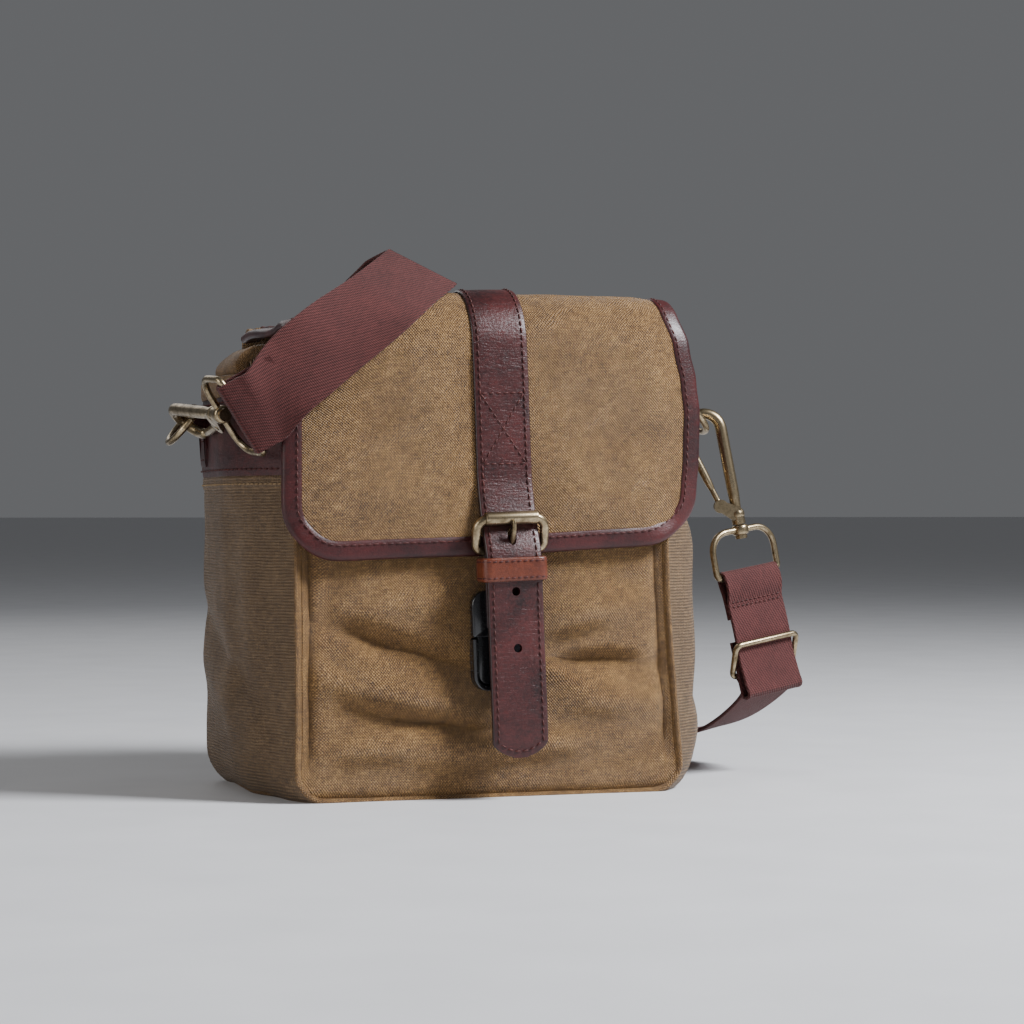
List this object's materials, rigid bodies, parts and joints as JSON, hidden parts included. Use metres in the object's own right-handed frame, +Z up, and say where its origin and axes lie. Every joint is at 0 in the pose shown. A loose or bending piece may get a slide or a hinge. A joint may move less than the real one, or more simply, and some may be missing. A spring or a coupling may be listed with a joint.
{
  "type": "camera bag",
  "caption": "Small canvas camera bag with a leather-bound flap, a buckled closure strap, padded dividers and a webbing shoulder strap on swivel snap hooks.",
  "frame": {"origin": "centre of the base, on the surface the bag stands on", "axes": "+Z up, the front with the flap and buckle faces -Y, +X to the right of someone facing the front"},
  "size_m": [0.3408, 0.2223, 0.2727],
  "materials": {
    "canvas": "waxed cotton canvas, fine plain weave, matt with a faint waxy sheen",
    "lining": "soft brushed lining over foam",
    "leather": "oxblood pull-up leather, fine grain, satin",
    "tan_leather": "red-brown leather, fine grain, satin",
    "webbing": "heavy ribbed cotton webbing, matt",
    "brass": "antique brass, satin and worn bright on the edges",
    "clip_plastic": "black moulded plastic, semi-gloss"
  },
  "bodies": {
    "bag": {"front_panel": "canvas", "back_panel": "canvas", "gusset_left": "canvas", "gusset_right": "canvas", "base_panel": "canvas", "padded_liner": "lining", "ear_left": "canvas", "ear_right": "canvas", "side_patch_left": "leather", "side_patch_right": "leather", "ring_tab_left": "leather", "ring_tab_right": "leather", "anchor_tab": "leather", "clip_base": "clip_plastic", "webbing_end_left": "webbing", "webbing_end_right": "webbing", "webbing_back": "webbing"},
    "divider_l": {"divider_left": "lining"},
    "divider_r": {"divider_right": "lining"},
    "flap": {"flap_shell": "canvas", "flap_binding": "leather", "closure_strap": "leather", "strap_keeper": "tan_leather", "clip_top": "clip_plastic", "clip_chape": "leather", "webbing_front": "webbing"},
    "buckle": {"buckle_frame": "brass"},
    "roller": {"buckle_roller": "brass"},
    "prong": {"buckle_prong": "brass"},
    "ring_left": {"d_ring_left": "brass"},
    "ring_right": {"d_ring_right": "brass"},
    "eye_left": {"swivel_eye_left": "brass"},
    "eye_right": {"swivel_eye_right": "brass"},
    "hook_left": {"hook_body_left": "brass", "gate_pin_left": "brass"},
    "hook_right": {"hook_body_right": "brass", "gate_pin_right": "brass"},
    "gate_left": {"hook_gate_left": "brass"},
    "gate_right": {"hook_gate_right": "brass"},
    "slider": {"strap_slider": "brass"}
  },
  "joints": [
    {"name": "flap_open", "type": "hinge", "parent": "bag", "child": "flap", "pos_m": [0, 0.061, 0.234], "axis": [-1, 0, 0], "range_deg": [0, 110]},
    {"name": "divider_left_lift", "type": "slide", "parent": "bag", "child": "divider_l", "axis": [0, 0, 1], "range_m": [0, 0.06]},
    {"name": "divider_right_lift", "type": "slide", "parent": "bag", "child": "divider_r", "axis": [0, 0, 1], "range_m": [0, 0.06]},
    {"name": "buckle_swing", "type": "hinge", "parent": "flap", "child": "buckle", "pos_m": [0.00856, -0.069, 0.12158], "axis": [0.9993, 0, 0.0366], "range_deg": [0, 4]},
    {"name": "roller_spin", "type": "hinge", "parent": "buckle", "child": "roller", "pos_m": [0.00799, -0.0742, 0.13707], "axis": [0.9993, 0, 0.0366], "continuous": true},
    {"name": "prong_tilt", "type": "hinge", "parent": "buckle", "child": "prong", "pos_m": [0.00856, -0.069, 0.12158], "axis": [0.9993, 0, 0.0366], "range_deg": [0, 3]},
    {"name": "ring_left_tilt", "type": "hinge", "parent": "bag", "child": "ring_left", "pos_m": [-0.12929, 0.0307, 0.19107], "axis": [0, 1, 0], "range_deg": [-8, 8]},
    {"name": "ring_right_tilt", "type": "hinge", "parent": "bag", "child": "ring_right", "pos_m": [0.12662, 0.00933, 0.19722], "axis": [0, 1, 0], "range_deg": [-8, 8]},
    {"name": "eye_left_tilt", "type": "hinge", "parent": "bag", "child": "eye_left", "pos_m": [-0.1215, -0.062, 0.185], "axis": [-0.5474, -0.2128, 0.8094], "range_deg": [0, 2.5]},
    {"name": "eye_right_tilt", "type": "hinge", "parent": "bag", "child": "eye_right", "pos_m": [0.1635, 0.0025, 0.107], "axis": [0.9418, 0.3023, 0.1473], "range_deg": [-2, 2]},
    {"name": "hook_left_swivel", "type": "hinge", "parent": "eye_left", "child": "hook_left", "pos_m": [-0.1282, -0.03595, 0.18732], "axis": [-0.248, 0.9649, 0.086], "range_deg": [-8, 8]},
    {"name": "hook_right_swivel", "type": "hinge", "parent": "eye_right", "child": "hook_right", "pos_m": [0.15891, 0.00385, 0.13357], "axis": [-0.17, 0.05, 0.9842], "range_deg": [-8, 8]},
    {"name": "gate_left_open", "type": "hinge", "parent": "hook_left", "child": "gate_left", "pos_m": [-0.12497, -0.02336, 0.18331], "axis": [0.6197, 0.0898, 0.7797], "range_deg": [0, 20], "stiffness_Nm_per_rad": 0.05},
    {"name": "gate_right_open", "type": "hinge", "parent": "hook_right", "child": "gate_right", "pos_m": [0.14951, 0.0067, 0.14298], "axis": [0.2921, 0.9564, 0.0019], "range_deg": [0, 20], "stiffness_Nm_per_rad": 0.05},
    {"name": "slider_slide", "type": "slide", "parent": "bag", "child": "slider", "axis": [0.1819, -0.0895, -0.9792], "range_m": [-0.008, 0.008]}
  ]
}
